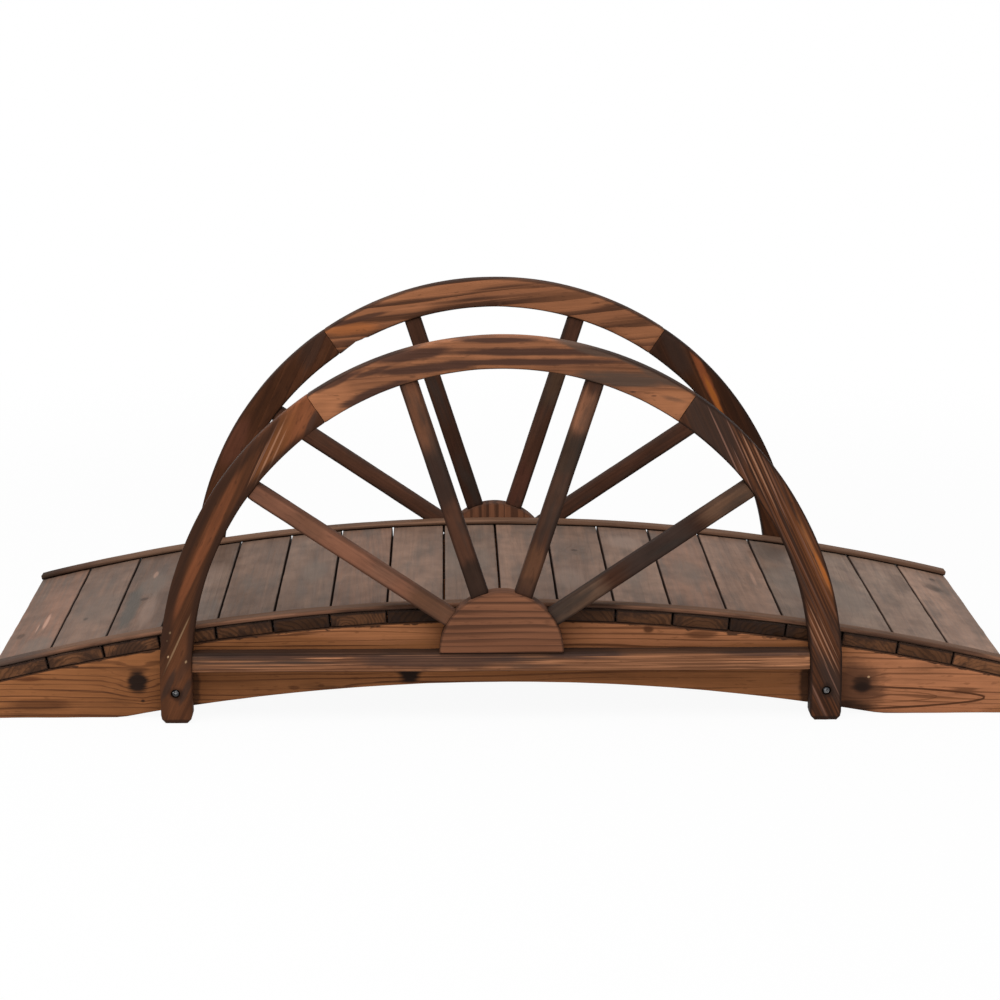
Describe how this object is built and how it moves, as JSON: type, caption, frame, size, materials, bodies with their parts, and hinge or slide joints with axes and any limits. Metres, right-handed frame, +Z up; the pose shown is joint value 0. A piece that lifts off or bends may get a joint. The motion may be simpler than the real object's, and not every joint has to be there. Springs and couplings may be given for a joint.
{
  "type": "moon bridge",
  "caption": "Low arched garden footbridge of burnt softwood with a board deck and half-wheel railings with spokes on both sides.",
  "frame": {"origin": "centre of the bridge's plan, on the ground", "axes": "+X along the walkway to the right, +Y across it away from the viewer, +Z up"},
  "size_m": [1.528, 0.65, 0.5805],
  "materials": {
    "deck_boards": "torch-burnt softwood, satin",
    "beams": "torch-burnt softwood, satin",
    "edge_strips": "torch-burnt softwood, satin",
    "rims": "torch-burnt softwood, satin",
    "rails": "torch-burnt softwood, satin",
    "hubs": "torch-burnt softwood, satin",
    "spokes": "torch-burnt softwood, satin"
  },
  "bodies": {
    "root": {"deck_plank_01": "deck_boards", "deck_plank_02": "deck_boards", "deck_plank_03": "deck_boards", "deck_plank_04": "deck_boards", "deck_plank_05": "deck_boards", "deck_plank_06": "deck_boards", "deck_plank_07": "deck_boards", "deck_plank_08": "deck_boards", "deck_plank_09": "deck_boards", "deck_plank_10": "deck_boards", "deck_plank_11": "deck_boards", "deck_plank_12": "deck_boards", "deck_plank_13": "deck_boards", "deck_plank_14": "deck_boards", "deck_plank_15": "deck_boards", "deck_plank_16": "deck_boards", "deck_plank_17": "deck_boards", "deck_plank_18": "deck_boards", "front_stringer": "beams", "front_edge_strip": "edge_strips", "front_rim_left": "rims", "front_rim_top": "rims", "front_rim_right": "rims", "front_rail": "rails", "front_hub": "hubs", "front_spoke_outer_left": "spokes", "front_spoke_inner_left": "spokes", "front_spoke_inner_right": "spokes", "front_spoke_outer_right": "spokes", "back_stringer": "beams", "back_edge_strip": "edge_strips", "back_rim_left": "rims", "back_rim_top": "rims", "back_rim_right": "rims", "back_rail": "rails", "back_hub": "hubs", "back_spoke_outer_left": "spokes", "back_spoke_inner_left": "spokes", "back_spoke_inner_right": "spokes", "back_spoke_outer_right": "spokes", "middle_stringer": "beams"}
  },
  "joints": []
}
